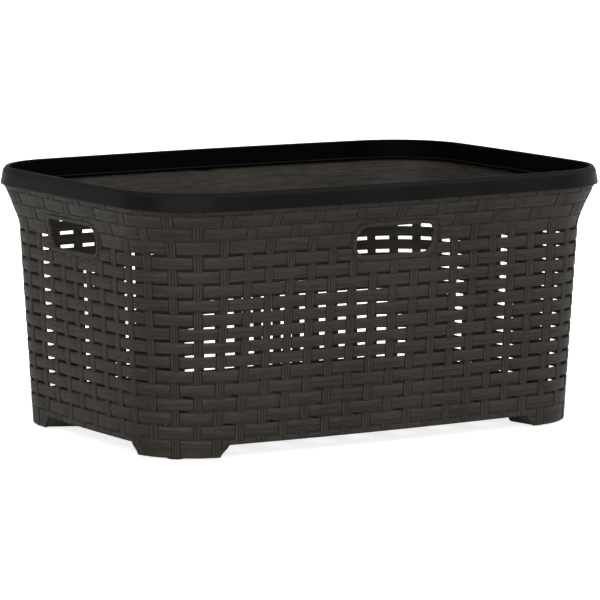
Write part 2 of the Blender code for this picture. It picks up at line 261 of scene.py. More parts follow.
def far_lean(k, z):
    """Sideways shift of the stakes of the two far sides."""
    place = offset_from(k)
    high = np.interp(place, (-12.0, -8.0, -7.0, -5.0), (0.0, -0.05, -0.05, 0.0))
    low = high + np.interp(place, (-5.0, -1.0, 1.0, 6.0, 8.0, 12.0),
                           (0.0, 0.05, 0.09, 0.10, 0.05, 0.0))
    short = np.interp(place, (10.0, 13.0, 17.0, 20.0, 22.5), (0.0, 0.09, 0.17, 0.14, 0.0))
    high = high + 0.8 * short * np.interp(z, (0.192, 0.202), (1.0, 0.0))
    low = low + short * np.interp(z, (0.09, 0.15), (0.0, 1.0))
    lowness = np.interp(z, (0.13, 0.19), (1.0, 0.0))
    lean = (lowness * low + (1 - lowness) * high) * np.interp(z, (0.22, 0.25), (1.0, 0.0))
    return 0.14 * far_weight(k, start=-10.5, span=7.0) + lean


def far_drop(z):
    """The weave of the two far sides runs a little lower at its foot."""
    return np.interp(z, (SKIRT_Z, 0.0335, 0.1970, 0.2126, 0.2175, 0.2300),
                     (0.0, -0.0030, 0.0005, 0.0006, 0.0003, 0.0))


def wall_points(k, z):
    x, y = outline(k, wall_section(z))
    return np.stack([x, y, np.full_like(x, z + PAD_H)], 1)


def wall_frame(k, z):
    """Points and outward normals of the wall's datum face at one height."""
    k = np.asarray(k, float)
    place = foot_warp(k, z) + near_lean(k, z)
    place = place + far_lean(k, z) * smooth((z - 0.018) / 0.02)
    step_k, step_z = 0.02, 0.0008
    points = wall_points(place, z)
    along = wall_points(place + step_k, z) - wall_points(place - step_k, z)
    upward = wall_points(place, z + step_z) - wall_points(place, z - step_z)
    normals = np.cross(upward, along)
    normals /= np.linalg.norm(normals, axis=1)[:, None]
    drop = far_weight(k, start=-13.0, span=5.0) * far_drop(z)
    return points + upward / (2 * step_z) * drop[:, None], normals


# --------------------------------------------------------------- mesh helpers
def bridge(a, b):
    """Triangles between two chains of (place, vertex) whose places rise."""
    i = j = 0
    while i < len(a) - 1 or j < len(b) - 1:
        if j == len(b) - 1 or (i < len(a) - 1
                               and a[i + 1][0] + a[i][0] <= b[j + 1][0] + b[j][0]):
            yield a[i][1], a[i + 1][1], b[j][1]
            i += 1
        else:
            yield a[i][1], b[j + 1][1], b[j][1]
            j += 1


def closed_chain(chain, period):
    return chain + [(chain[0][0] + period, chain[0][1])]


def angular_chain(pairs):
    """(angle, vertex) pairs as a counter-clockwise chain closed on itself."""
    return closed_chain(sorted((angle % TURN, vertex) for angle, vertex in pairs), TURN)


def ring_quads(a, b, flip=False):
    """Quads between two closed rings of vertices."""
    for i in range(len(a)):
        j = (i + 1) % len(a)
        yield (a[i], a[j], b[j], b[i]) if flip else (a[i], b[i], b[j], a[j])


def finish_object(mesh, sharp_deg, weld=False):
    """Turns the faces outwards, shades them, and links an object."""
    bm = bmesh.new()
    bm.from_mesh(mesh)
    if weld:
        bmesh.ops.remove_doubles(bm, verts=bm.verts[:], dist=1e-7)
    bmesh.ops.recalc_face_normals(bm, faces=bm.faces[:])
    bm.to_mesh(mesh)
    bm.free()
    ob = bpy.data.objects.new(mesh.name, mesh)
    bpy.context.scene.collection.objects.link(ob)
    mesh.shade_smooth()
    mesh.set_sharp_from_angle(angle=math.radians(sharp_deg))
    return ob


def plain_object(name, verts, faces, sharp_deg):
    mesh = bpy.data.meshes.new(name)
    mesh.from_pydata(verts, [], faces)
    mesh.update()
    return finish_object(mesh, sharp_deg, weld=True)


# The map: u runs once round, v up the outer face and then up the inner face.
# Each is (start, span).
MAP_U, MAP_V_OUTER, MAP_V_INNER = (0.004, 0.992), (0.005, 0.61), (0.63, 0.36)
MAP_Z0, MAP_HEIGHT = -0.004, 0.285


class WeaveMesh:
    """Wall vertices with their place and weave data (stake, painted highlight,
    painted shade), and faces with their map."""

    def __init__(self):
        self.points, self.places, self.data = [], [], []
        self.faces, self.uvs = [], []

    def add_row(self, ks, z, depths, data):
        """Vertices at one height, depths outwards from the datum face."""
        points, normals = wall_frame(ks, z)
        start = len(self.points)
        for point in points + normals * np.array(depths)[:, None]:
            self.points.append(tuple(map(float, point)))
        self.places += [(float(k), float(z)) for k in ks]
        self.data += data
        return list(range(start, len(self.points)))

    def uv(self, vertex, inner, reference):
        k, z = self.places[vertex]
        k -= AROUND * round((k - reference) / AROUND)
        start, span = MAP_V_INNER if inner else MAP_V_OUTER
        return (MAP_U[0] + MAP_U[1] * (k / AROUND),
                start + (z - MAP_Z0) / MAP_HEIGHT * span)

    def face(self, vertices, inner=False):
        ks = [self.places[v][0] for v in vertices]
        reference = max(ks) if max(ks) - min(ks) > AROUND / 2 else ks[0]
        self.faces.append(tuple(vertices))
        self.uvs.append([self.uv(v, inner, reference) for v in vertices])

    def strip(self, a, b, flip=False, inner=False):
        for triangle in bridge(a, b):
            self.face(triangle[::-1] if flip else triangle, inner)

    def to_object(self, name, sharp_deg):
        used = sorted({v for face in self.faces for v in face})
        number = {old: new for new, old in enumerate(used)}
        mesh = bpy.data.meshes.new(name)
        mesh.from_pydata([self.points[v] for v in used], [],
                         [tuple(number[v] for v in face) for face in self.faces])
        layer = mesh.uv_layers.new(name="OFBake")
        layer.data.foreach_set("uv", np.array(
            [value for face in self.uvs for pair in face for value in pair], np.float32))
        data = np.array([self.data[v] for v in used], np.float32)
        # per-vertex masks: stake, painted highlight and painted shade
        for column, label in enumerate(("stake", "painted_highlight", "painted_shade")):
            attribute = mesh.attributes.new(label, 'FLOAT', 'POINT')
            attribute.data.foreach_set("value", np.ascontiguousarray(data[:, column]))
        mesh.update()
        mesh.validate(clean_customdata=False)
        return finish_object(mesh, sharp_deg)


# ------------------------------------------------------------------ wall grid
def boundary_z(j):
    """Height of the boundary under row j."""
    return FLARE_BOUNDARIES.get(j, ROW0_Z + ROW_PITCH * j)


def boundary_half(j):
    return LOWEST_SLOT_HALVES.get(j, SLOT_HALF) if j in SLOTS else GROOVE_HALF


def boundary_edges(j):
    return boundary_z(j) - boundary_half(j), boundary_z(j) + boundary_half(j)


# The wall's grid is left out between these heights at a hand hold.
HOLD_GRID_LO = boundary_edges(11)[0]
HOLD_GRID_HI = boundary_edges(14)[0] - UPPER_SHOULDER
HOLD_Z0, HOLD_Z1 = 0.2018, 0.2327           # the opening itself
HOLD_STEPS_LONG, HOLD_STEPS_UP, HOLD_STEPS_ARC = 13, 5, 7
# Middle in stakes, stake pitch, half width of the gap in the grid in stakes,
# width of the raised frame, half width, corner radius, shift towards rising k
Hold = namedtuple("Hold", "middle pitch grid_half frame half_width corner_r shift")
SHORT_HOLD = (PITCH_SHORT, 2 + STAKE_SHORT, 0.0043, 0.0515, 0.0095, 0.0024)
LONG_HOLD = (PITCH_LONG, 2 + STAKE_LONG, 0.0053, 0.0470, 0.0112, 0.0)
HOLDS = (Hold(QUARTER, *SHORT_HOLD), Hold(2 * QUARTER, *LONG_HOLD),
         Hold(3 * QUARTER, *SHORT_HOLD))

# Parts of a row, bottom to top
LOWER_EDGE, LOWER_ROUND, MIDDLE, UPPER_ROUND, UPPER_EDGE = range(5)
Level = namedtuple("Level", "z row part")
Column = namedtuple("Column", "k stake kind")


def outer_levels():
    """Grid levels from the foot bottom to the wall's top edge."""
    levels = [Level(z, ROW_LO, MIDDLE)
              for z in (FOOT_BOTTOM_Z, 0.0020, 0.0050, 0.0085, SKIRT_Z)]
    for j in range(ROW_LO, ROW_HI + 1):
        low = boundary_edges(j)[1]
        high = boundary_edges(j + 1)[0] if j < ROW_HI else FLARE_TOP_Z
        if j > ROW_LO:
            levels += [Level(low, j, LOWER_EDGE), Level(low + LOWER_SHOULDER, j, LOWER_ROUND)]
            levels.append(Level(0.5 * (low + high) if j < ROW_HI else high, j, MIDDLE))
        if j < ROW_HI:
            levels += [Level(high - UPPER_SHOULDER, j, UPPER_ROUND), Level(high, j, UPPER_EDGE)]
    return levels + [Level(z, PLAIN_ROW, MIDDLE) for z in (0.2660, WALL_TOP_Z)]


def stake_half(k):
    """Half width of stake number k, in pitches."""
    place = folded(k)
    if place <= K_LONG:
        return STAKE_LONG
    if place >= K_SHORT:
        return STAKE_SHORT
    return STAKE_CORNER


def inner_extra(k):
    """How much further a stake reaches to each side on the inner face."""
    return 0.045 if (k > 53 or k < 20) else 0.0


# Columns across a stake: offset in half widths, and kind
STAKE_COLUMNS = (
    (-1.0, "edge"), (-0.90, "top"), (-0.47, "top"), (-0.35, "groove"), (-0.23, "top"),
    (0.23, "top"), (0.35, "groove"), (0.47, "top"), (0.90, "top"), (1.0, "edge"),
)
SIDE_OFFSET, GAP_OFFSET = 0.026, 0.085      # columns beside a stake, from its edge


def outer_columns():
    """Grid columns round the basket. Those between stakes have no stake number."""
    columns = []
    for k in range(AROUND):
        left = stake_half(k)
        right = 1 - stake_half(k + 1)
        columns += [Column((k + offset * left) % AROUND, k, kind)
                    for offset, kind in STAKE_COLUMNS]
        columns += [Column(k + left + SIDE_OFFSET, None, "side"),
                    Column(k + left + GAP_OFFSET, None, "gap"),
                    Column(k + 0.5, None, "gap"),
                    Column(k + right - GAP_OFFSET, None, "gap"),
                    Column(k + right - SIDE_OFFSET, None, "side")]
    columns.sort(key=lambda column: column.k)
    # the ends of the feet fall exactly on a column
    for foot in FEET:
        for end in (foot.start, foot.end):
            near = min(range(len(columns)), key=lambda i: abs(columns[i].k - end))
            if abs(columns[near].k - end) < 0.045 and columns[near].stake is None:
                columns[near] = Column(end, None, columns[near].kind)
            else:
                columns.append(Column(end, None, "gap"))
                columns.sort(key=lambda column: column.k)
    return columns


def in_foot(k):
    return any(foot.start < k < foot.end for foot in FEET)


def in_hold(k):
    return any(abs(offset_from(k, hold.middle)) < hold.grid_half for hold in HOLDS)


def gap_open(k, inner):
    """True where a slot is open, between two stakes."""
    left = math.floor(k)
    right = (left + 1) % AROUND
    extra_left, extra_right = (inner_extra(left), inner_extra(right)) if inner else (0.0, 0.0)
    return stake_half(left) + extra_left < k - left < 1 - stake_half(right) - extra_right


def stake_relief(column, level, runs_on):
    z, j, _ = level
    half = 0.5 * (boundary_z(j + 1) - boundary_z(j)) + SLOT_HALF
    middle = 0.5 * (boundary_z(j + 1) + boundary_z(j))
    if j == ROW_HI:
        middle = boundary_z(j) + 0.5 * ROW_PITCH
    t = min(abs(z - middle) / half, 1.0) if j > ROW_LO or z > middle else 0.0
    if runs_on and (j == ROW_LO or z < middle):
        t = 0.0
    depth = 0.00015 - 0.00040 * t ** 5.0
    # Painted highlight on the rib tops, strongest mid-row, and painted shade along the stake's
    # edges and in its groove.
    if column.kind == "edge":
        return depth - 0.00025, (1.0, 0.3, 0.3)
    if column.kind == "groove":
        return depth - 0.00065, (1.0, 0.0, 1.0)
    return depth, (1.0, 0.75 * (1 - t) + 0.20, 0.0)


def strand_relief(column, level):
    """A strand is flat between the visible stakes on either side of it."""
    k, stake, kind = column
    _, j, part = level
    at_edge = part in (LOWER_EDGE, UPPER_EDGE)
    left = math.floor(k)
    t = abs(k - (left if (left + j) % 2 == 0 else left + 1))
    # Painted shade fills the dark lines beside the stakes, the tucks, the plain grooves and the
    # strands' lower edges, and faintly darkens the strands near the stakes; painted highlight runs
    # along their upper edges and rounds.
    if kind == "side" and t < 0.5:
        return -0.00078 - (0.0002 if at_edge else 0.0), (0.0, 0.0, 1.0)
    depth = -np.interp(t, (0.20, 0.26, 0.50, 1.0), (0.00034, 0.00022, 0.00010, 0.0))
    if at_edge:
        if stake is not None:
            # the next row's stake tucks in here
            return depth - 0.00045, (0.3, 0.0, 0.45)
        if (j if part == LOWER_EDGE else j + 1) not in SLOTS:
            return depth - 0.00045, (0.0, 0.0, 0.8)
        if part == UPPER_EDGE:
            return depth - 0.00095, (0.0, 0.9, 0.0)
        return depth - 0.00030, (0.0, 0.0, 0.3)
    if part == MIDDLE:
        return depth, (0.0, 0.10, 0.06 * 0.5 * (1 + math.cos(math.pi * t)))
    return depth - 0.00003, (0.0, 0.8 if part == UPPER_ROUND else 0.15, 0.0)


def relief(column, level):
    """Depth outwards from the datum face, and weave data, of a grid vertex."""
    k, stake, _ = column
    j = level.row
    if j == PLAIN_ROW:
        return 0.0, (0.0, 0.0, 0.0)
    if stake is not None:
        # between the feet the stakes of the lowest full row run on to the skirt
        runs_on = (j in (ROW_LO, ROW_LO + 1) and not in_foot(k)
                   and (stake + ROW_LO + 1) % 2 == 0)
        if (stake + j) % 2 == 0 or (runs_on and j == ROW_LO):
            return stake_relief(column, level, runs_on)
    return strand_relief(column, level)


# ----------------------------------------------------------------------- wall
class Skin:
    """The outer or inner face of the wall: rows of vertices at heights zs, with
    columns at ks."""

    def __init__(self, ks, zs, rows, inner):
        self.ks, self.zs, self.rows, self.inner = ks, zs, rows, inner
        self.skirt = self.level(SKIRT_Z)
        self.hold_lo, self.hold_hi = self.level(HOLD_GRID_LO), self.level(HOLD_GRID_HI)
        self.slots = [self.level(boundary_edges(j)[0]) for j in SLOTS]

    def level(self, z):
        return min(range(len(self.zs)), key=lambda i: abs(self.zs[i] - z))

    def beside_hold(self, i, k):
        return self.hold_lo <= i < self.hold_hi and in_hold(k)

    def add_faces(self, mesh):
        for i, (low, high) in enumerate(zip(self.rows[:-1], self.rows[1:])):
            for c, k in enumerate(self.ks):
                d = (c + 1) % len(self.ks)
                middle = 0.5 * (k + (self.ks[d] if d else self.ks[d] + AROUND))
                if ((i < self.skirt and not in_foot(middle)) or self.beside_hold(i, middle)
                        or (i in self.slots and gap_open(middle, self.inner))):
                    continue
                if self.inner:
                    mesh.face((low[c], low[d], high[d], high[c]), inner=True)
                else:
                    mesh.face((low[c], high[c], high[d], low[d]))

    def span(self, i, start, end):
        """Part of a row between two places, as a chain."""
        return sorted((k, vertex) for k, vertex in zip(self.ks, self.rows[i])
                      if start - 1e-4 <= k <= end + 1e-4)

    def top_edge(self):
        return closed_chain(list(zip(self.ks, self.rows[-1])), AROUND)

    def lower_edge(self):
        """Chain along the skirt, and down, along and up each foot."""
        chain = []
        steps = range(self.skirt + 1)
        step_k = 0.0005     # keeps the places rising along a foot's end
        for c, k in enumerate(self.ks):
            column = [row[c] for row in self.rows[:self.skirt + 1]]
            foot = next((f for f in FEET if f.start - 1e-6 < k < f.end + 1e-6), None)
            if foot is None:
                chain.append((k, column[-1]))
            elif abs(k - foot.start) < 1e-6:
                chain += [(k + step_k * s, column[self.skirt - s]) for s in steps]
            elif abs(k - foot.end) < 1e-6:
                chain += [(k - step_k * (self.skirt - s), column[s]) for s in steps]
            else:
                chain.append((k, column[0]))
        return closed_chain(chain, AROUND)

    def join_hold(self, mesh, hold, loop, places):
        """Fills between the gap in the grid and a loop round a hand hold."""
        half = hold.grid_half + (inner_extra(hold.middle) if self.inner else 0.0)

        def angle(along, z):
            rise = (z - 0.5 * (HOLD_GRID_LO + HOLD_GRID_HI)) / (0.5 * (HOLD_GRID_HI - HOLD_GRID_LO))
            return math.atan2(rise, along / (half * hold.pitch))

        ring = []
        for c, k in enumerate(self.ks):
            offset = offset_from(k, hold.middle)
            if abs(offset) > half + 1e-4:
                continue
            levels = [self.hold_lo, self.hold_hi]
            if abs(abs(offset) - half) < 1e-4:
                levels = range(self.hold_lo, self.hold_hi + 1)
            ring += [(angle(offset * hold.pitch, self.zs[i]), self.rows[i][c]) for i in levels]
        frame = [(angle(*place), vertex) for place, vertex in zip(places, loop)]
        mesh.strip(angular_chain(ring), angular_chain(frame), flip=self.inner, inner=self.inner)


def outer_skin(mesh):
    columns, levels = outer_columns(), outer_levels()
    ks = np.array([column.k for column in columns])
    rows = []
    for level in levels:
        depths, data = zip(*(relief(column, level) for column in columns))
        rows.append(mesh.add_row(ks, level.z, depths, data))
    return Skin(ks, [level.z for level in levels], rows, inner=False)


# the inner face carries a little painted shade
INNER_DATA = (0.0, 0.0, 0.10)


def inner_skin(mesh, outer):
    ks = [end for foot in FEET for end in (foot.start, foot.end)]
    for k in range(AROUND):
        half = stake_half(k) + inner_extra(k)
        ks += [(k - half) % AROUND, k + half, k + 0.5]
    ks = np.array(sorted(set(round(k, 6) for k in ks)))
    zs = outer.zs[:outer.skirt + 1]
    for j in SLOTS:
        zs += boundary_edges(j)
    zs += [FLARE_Z + 0.0002, 0.2215, 0.2275, 0.2340, HOLD_GRID_HI, 0.2470, THIN_END_Z,
           FLARE_TOP_Z, WALL_TOP_Z]
    zs = sorted(set(round(z, 7) for z in zs))
    rows = [mesh.add_row(ks, z, [-wall_thickness(z)] * len(ks), [INNER_DATA] * len(ks))
            for z in zs]
    return Skin(ks, zs, rows, inner=True)


def add_slot_walls(mesh, outer, inner):
    for i, inner_i in zip(outer.slots, inner.slots):
        for k in range(AROUND):
            right = (k + 1) % AROUND
            start, end = k + stake_half(k), k + 1 - stake_half(right)
            if outer.beside_hold(i, 0.5 * (start + end)):
                continue
            inner_span = start + inner_extra(k), end - inner_extra(right)
            low, high = (outer.span(row, start, end) for row in (i, i + 1))
            low_in, high_in = (inner.span(row, *inner_span) for row in (inner_i, inner_i + 1))
            mesh.strip(low, low_in)
            mesh.strip(high, high_in, flip=True)
            mesh.face([chain[0][1] for chain in (low, low_in, high_in, high)])
            mesh.face([chain[-1][1] for chain in (low, high, high_in, low_in)])


def hold_places(hold, grow):
    """(along, z) round a hand hold's rounded rectangle, grown outwards."""
    x = hold.half_width - hold.corner_r
    z = (HOLD_Z1 - HOLD_Z0) / 2 - hold.corner_r
    corners = [(x, z), (-x, z), (-x, -z), (x, -z)]
    reach = hold.corner_r + grow
    places = []
    for q, (corner_x, corner_z) in enumerate(corners):
        for s in range(HOLD_STEPS_ARC + 1):
            angle = math.radians(90.0 * (q + s / HOLD_STEPS_ARC))
            places.append((corner_x + reach * math.cos(angle),
                           corner_z + reach * math.sin(angle)))
        start_x, start_z = places[-1]
        next_x, next_z = corners[(q + 1) % 4]
        steps = HOLD_STEPS_LONG if q % 2 == 0 else HOLD_STEPS_UP
        for s in range(1, steps):
            places.append((start_x + (next_x - corner_x) * s / steps,
                           start_z + (next_z - corner_z) * s / steps))
    return [(x + hold.shift, z + 0.5 * (HOLD_Z0 + HOLD_Z1)) for x, z in places]


def add_hold(mesh, outer, inner, hold):
    """The raised frame and the through wall of one hand hold."""
    profile = (     # growth of the opening, depth, painted highlight, painted shade
        (hold.frame, -0.00060, 0.0, 0.6),
        (hold.frame - 0.0003, -0.00005, 0.2, 0.1),
        (hold.frame - 0.0009, 0.00015, 0.4, 0.0),
        (hold.frame * 0.5, 0.00018, 0.15, 0.0),
        (0.0010, 0.00012, 0.7, 0.0),
        (0.0003, -0.00010, 0.5, 0.0),
        (0.0000, -0.00060, 0.2, 0.1),
    )

    def vertex(place, depth, data):
        along, z = place
        return mesh.add_row([hold.middle + along / hold.pitch], z, [depth], [data])[0]

    loops = [[vertex(place, depth, (0.0, painted_highlight, painted_shade)) for place in hold_places(hold, grow)]
             for grow, depth, painted_highlight, painted_shade in profile]
    opening = hold_places(hold, 0.0)
    loops.append([vertex(place, -wall_thickness(place[1]), INNER_DATA) for place in opening])
    for a, b in zip(loops[:-1], loops[1:]):
        for quad in ring_quads(a, b):
            mesh.face(quad)
    outer.join_hold(mesh, hold, loops[0], hold_places(hold, hold.frame))
    inner.join_hold(mesh, hold, loops[-1], opening)


def build_wall():
    mesh = WeaveMesh()
    outer = outer_skin(mesh)
    outer.add_faces(mesh)
    inner = inner_skin(mesh, outer)
    inner.add_faces(mesh)
    add_slot_walls(mesh, outer, inner)
    mesh.strip(outer.lower_edge(), inner.lower_edge(), flip=True)
    mesh.strip(outer.top_edge(), inner.top_edge())
    for hold in HOLDS:
        add_hold(mesh, outer, inner, hold)
    return mesh.to_object("basket_weave_wall", sharp_deg=50.0)


# --------------------------------------------------------- floor, feet, pads
# Vents along x and y: count, pitch, half size
VENTS_X, VENTS_Y = (9, 0.0520, 0.0045), (5, 0.0600, 0.0210)
VENT_CHAMFER, VENT_MARGIN = 0.002, 0.006
SOLID, OPEN, CHAMFER = range(3)             # kinds of cell in the floor's grid
BLOCK_STEPS, PAD_STEPS = 20, 36


def vent_lines(count, pitch, half):
    lines = []
    for i in range(count):
        centre = (i - 0.5 * (count - 1)) * pitch
        lines += [centre - half, centre - half + VENT_CHAMFER,
                  centre + half - VENT_CHAMFER, centre + half]
    margin = lines[-1] + VENT_MARGIN
    return [-margin] + lines + [margin]


def add_points(verts, xs, ys, z):
    start = len(verts)
    verts += [(float(x), float(y), float(z)) for x, y in zip(xs, ys)]
    return list(range(start, len(verts)))


def add_slab(verts, faces):
    """Floor slab with chamfered vents and a low bead near its edge."""
    low_z, top_z = FLOOR_Z + PAD_H, FLOOR_Z + FLOOR_THICK + PAD_H
    xs, ys = vent_lines(*VENTS_X), vent_lines(*VENTS_Y)
    top, low = {}, {}
    for i, x in enumerate(xs):
        for j, y in enumerate(ys):
            top[i, j], = add_points(verts, [x], [y], top_z)
            low[i, j], = add_points(verts, [x], [y], low_z)

    def cell(i, j):
        if not (1 <= i < len(xs) - 2 and 1 <= j < len(ys) - 2):
            return SOLID
        part = (i - 1) % 4, (j - 1) % 4
        if 3 in part:
            return SOLID
        return OPEN if 1 in part else CHAMFER

    for i in range(len(xs) - 1):
        for j in range(len(ys) - 1):
            kind = cell(i, j)
            a, b, c, d = (i, j), (i + 1, j), (i + 1, j + 1), (i, j + 1)
            if kind == SOLID:
                faces.append((top[a], top[b], top[c], top[d]))
                faces.append((low[d], low[c], low[b], low[a]))
            elif kind == CHAMFER:
                p, q, r = {(0, 0): (a, b, d), (2, 0): (b, c, a), (2, 2): (c, d, b),
                           (0, 2): (d, a, c)}[(i - 1) % 4, (j - 1) % 4]
                faces.append((top[p], top[q], top[r]))
                faces.append((low[r], low[q], low[p]))
                faces.append((top[q], low[q], low[r], top[r]))
    # straight sides of the vents, along x and then along y
    for i in range(len(xs) - 1):
        for j in range(len(ys)):
            if {cell(i, j - 1), cell(i, j)} == {SOLID, OPEN}:
                faces.append((top[i, j], top[i + 1, j], low[i + 1, j], low[i, j]))
    for j in range(len(ys) - 1):
        for i in range(len(xs)):
            if {cell(i - 1, j), cell(i, j)} == {SOLID, OPEN}:
                faces.append((top[i, j], top[i, j + 1], low[i, j + 1], low[i, j]))

    # border out to the wall: inset from the wall's datum face, and height
    border = ((0.0120, top_z), (0.0100, top_z + 0.0012), (0.0070, top_z + 0.0012),
              (0.0050, top_z), (0.0016, top_z), (0.0016, low_z), (0.0120, low_z))
    section = wall_section(FLOOR_Z)
    ks = np.arange(0, AROUND, 0.5)
    rings = [add_points(verts, *outline(ks, grown(section, -inset)), z) for inset, z in border]

    def chain(vertices):
        return angular_chain((math.atan2(verts[v][1] / ys[-1], verts[v][0] / xs[-1]), v)
                             for v in vertices)

    edge = [key for key in top if key[0] in (0, len(xs) - 1) or key[1] in (0, len(ys) - 1)]
    faces += [(a, c, b) for a, b, c in bridge(chain(top[e] for e in edge), chain(rings[0]))]
    faces += [(b, c, a) for a, b, c in bridge(chain(low[e] for e in edge), chain(rings[-1]))]
    for a, b in zip(rings[:-1], rings[1:]):
        faces += ring_quads(a, b)


def add_foot_block(verts, faces, foot):
    """Block behind the wall, its ends sloping with the wall's."""
    profile = (     # how far the block is drawn in, and height
        (0.0030, FOOT_BOTTOM_Z + 0.0001), (0.0012, FOOT_BOTTOM_Z + 0.0006),
        (0.0003, FOOT_BOTTOM_Z + 0.0018), (0.0, 0.0030), (0.0, 0.0055), (0.0, 0.0080),
        (0.0, 0.0100), (0.0, SKIRT_Z), (0.0, FLOOR_Z + 0.0010))
    end_gap, mean_pitch, behind_wall = 0.010, 0.026, 0.0028
    reference = wall_section(FOOT_REF_Z)
    rings = []
    for inset, z in profile:
        trim = foot_slope(z) + end_gap + 0.5 * inset / mean_pitch
        start, end = foot.start + trim, foot.end - trim
        section = wall_section(z)
        section = Outline(section.half_x - behind_wall, section.half_y - behind_wall,
                          section.corner_r)
        out_x, out_y = outline(np.linspace(start, end, BLOCK_STEPS + 1), section)
        inner_ks = np.linspace(start - foot.start_widen, end + foot.end_widen, BLOCK_STEPS + 1)
        in_x, in_y = outline(inner_ks, grown(reference, inset - FOOT_DEPTH))
        rings.append(add_points(verts, [*out_x, *in_x[::-1]], [*out_y, *in_y[::-1]], z + PAD_H))
    for a, b in zip(rings[:-1], rings[1:]):
        faces += ring_quads(a, b, flip=True)
    bottom, top = rings[0], rings[-1]
    for u in range(BLOCK_STEPS):
        v = u + 1
        faces.append((bottom[v], bottom[u], bottom[-1 - u], bottom[-1 - v]))
        faces.append((top[u], top[v], top[-1 - v], top[-1 - u]))


def add_pad(verts, faces, foot):
    profile = ((PAD_R - 0.0018, 0.0), (PAD_R - 0.0010, 0.00025), (PAD_R - 0.0005, 0.0009),
               (PAD_R, PAD_H), (PAD_R, PAD_H + 0.0015))     # radius, height
    middle = 0.5 * (foot.start + foot.end) + foot.pad_shift
    x, y = outline(np.array([middle]), grown(wall_section(FOOT_REF_Z), -PAD_INSET))
    angles = TURN * np.arange(PAD_STEPS) / PAD_STEPS
    rings = [add_points(verts, x[0] + radius * np.cos(angles), y[0] + radius * np.sin(angles), z)
             for radius, z in profile]
    for a, b in zip(rings[:-1], rings[1:]):
        faces += ring_quads(a, b, flip=True)
    faces.append(tuple(rings[0][::-1]))
    faces.append(tuple(rings[-1]))


def build_floor():
    verts, faces = [], []
    add_slab(verts, faces)
    for foot in FEET:
        add_foot_block(verts, faces, foot)
        add_pad(verts, faces, foot)
    return plain_object("basket_floor_and_feet", verts, faces, sharp_deg=40.0)


# ------------------------------------------------------------------------ rim
# Section of the rim: out from the crest outline, up from the crest, fillet radius
RIM_SECTION = (
    (0.0052, -0.0190, 0.0004), (0.0057, -0.0182, 0.0005), (0.0033, -0.0046, 0.0016),
    (0.0003, 0.0000, 0.0014), (-0.0028, 0.0001, 0.0006), (-0.0037, -0.0010, 0.0008),
    (-0.0042, -0.0198, 0.0005), (-0.0049, -0.0205, 0.0003), (-0.0049, -0.0228, 0.0004),
    (-0.0027, -0.0230, 0.0003), (-0.0019, -0.0024, 0.0005), (0.0009, -0.0024, 0.0005),
    (0.0039, -0.0190, 0.0003),
)
FILLET_STEPS = 4
# In the middle of each side the inner lip reaches lower, as a short tab.
TAB_HALF, TAB_DROP, TAB_RAMP = 0.0090, 0.0013, 0.03     # the ramp is in stakes


def filleted(section):
    """Rounds the corners of a closed polygon."""
    corners = [np.array(entry[:2]) for entry in section]
    out = []
    for i, corner in enumerate(corners):
        before = corners[i - 1] - corner
        after = corners[(i + 1) % len(corners)] - corner
        before_len, after_len = np.linalg.norm(before), np.linalg.norm(after)
        before, after = before / before_len, after / after_len
        angle = math.acos(max(-1, min(1, float(before @ after))))
        cut = min(section[i][2] / math.tan(angle / 2), 0.45 * before_len, 0.45 * after_len)
        start, end = corner + before * cut, corner + after * cut
        for s in range(FILLET_STEPS + 1):
            t = s / FILLET_STEPS
            out.append(tuple((1 - t) ** 2 * start + 2 * t * (1 - t) * corner + t * t * end))
    return out


def build_rim():
    ks = list(np.arange(0, AROUND, 0.25))
    tabs = []
    for side in range(4):
        half = TAB_HALF / (PITCH_LONG if side % 2 == 0 else PITCH_SHORT)
        tabs.append((side * QUARTER, half))
        ks += [(side * QUARTER + offset) % AROUND
               for offset in (-half - TAB_RAMP, -half, half, half + TAB_RAMP)]
    ks = sorted(set(round(k, 5) for k in ks))
    ks = np.array([k for i, k in enumerate(ks) if i == 0 or k - ks[i - 1] > 0.012])
    drop = np.zeros(len(ks))
    for middle, half in tabs:
        drop[np.abs(offset_from(ks, middle)) <= half + 1e-4] = TAB_DROP
    verts, rings, faces = [], [], []
    for out, up in filleted(RIM_SECTION):
        x, y = outline(ks, grown(CREST, out))
        on_lip = up < -0.0212 and out < -0.002
        z = CREST_Z + PAD_H + up - drop * on_lip
        rings.append(list(range(len(verts), len(verts) + len(ks))))
        verts += zip(x, y, z)
    for i, ring in enumerate(rings):
        faces += ring_quads(ring, rings[(i + 1) % len(rings)], flip=True)
    return plain_object("top_rim_ring", verts, faces, sharp_deg=38.0)


